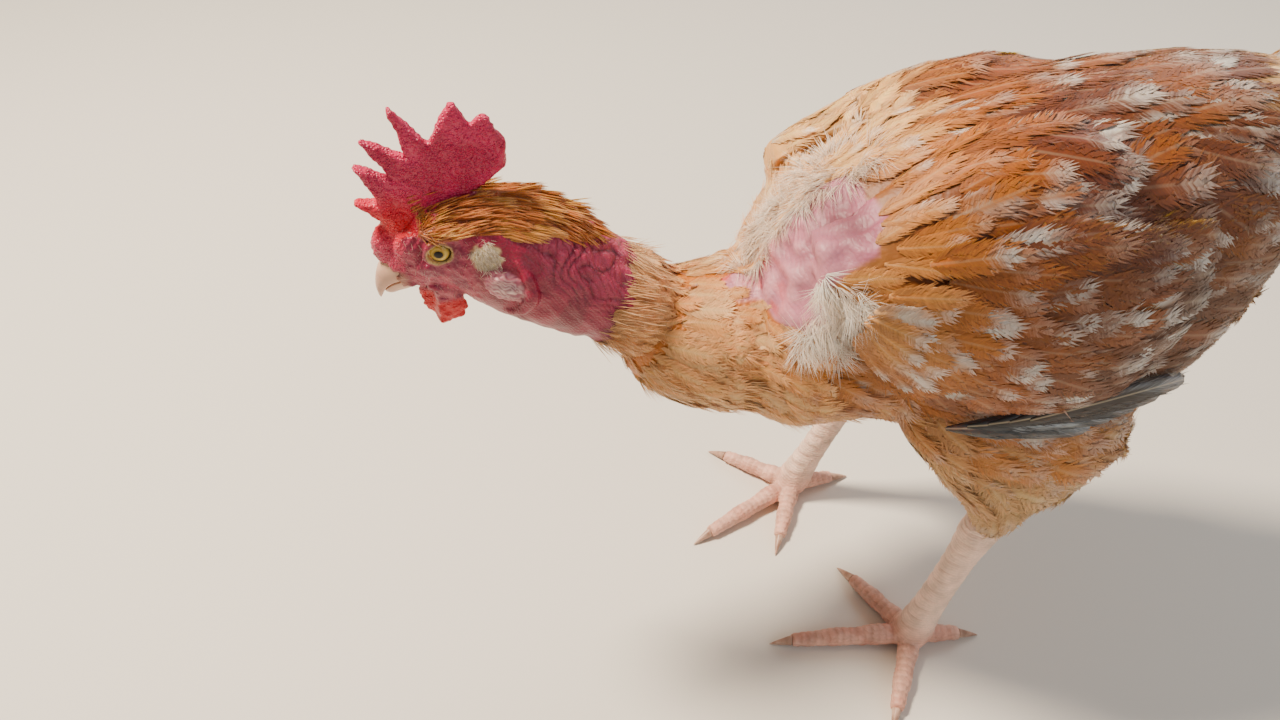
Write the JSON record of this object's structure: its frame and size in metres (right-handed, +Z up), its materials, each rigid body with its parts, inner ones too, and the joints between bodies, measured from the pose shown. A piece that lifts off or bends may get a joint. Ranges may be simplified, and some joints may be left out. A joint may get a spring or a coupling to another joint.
{
  "type": "naked neck hen",
  "caption": "Life-size still model of a naked neck hen, standing and leaning forward with her bare red neck and head stretched low, in brown and cream plumage",
  "frame": {"origin": "the bottom centre of the whole model's box, on the floor that the hen stands on", "axes": "+Z up, the hen faces -Y, her left side is +X; +Y runs from beak to tail"},
  "size_m": [0.1894, 0.439, 0.3491],
  "materials": {
    "plumage": "overlapping feathers, silky on the webs and downy at the shoulders",
    "buff": "soft narrow feathers",
    "slate": "smooth close webs of long quill feathers",
    "red_skin": "wrinkled bare skin, slightly moist on the folds",
    "comb_red": "granular, finely pimpled, soft sheen",
    "lobe": "matte, finely wrinkled",
    "horn": "smooth horn, satin",
    "claw": "smooth horn, worn at the tips",
    "shank_skin": "scaled skin, matte with satin plates",
    "eye": "wet gloss"
  },
  "bodies": {
    "root": {"torso": "plumage", "neck": "red_skin", "neck_tuft": "buff", "head": "red_skin", "beak_upper": "horn", "beak_lower": "horn", "comb": "comb_red", "wattle_left": "comb_red", "wattle_right": "comb_red", "earlobe_left": "lobe", "earlobe_right": "lobe", "eye_left": "eye", "eye_right": "eye", "wing_left": "plumage", "wing_right": "plumage", "tail": "slate", "thigh_left": "plumage", "thigh_right": "plumage", "shank_left": "shank_skin", "shank_right": "shank_skin", "foot_left": "shank_skin", "foot_right": "shank_skin", "claw_inner_left": "claw", "claw_middle_left": "claw", "claw_outer_left": "claw", "claw_hind_left": "claw", "claw_inner_right": "claw", "claw_middle_right": "claw", "claw_outer_right": "claw", "claw_hind_right": "claw"}
  },
  "joints": []
}
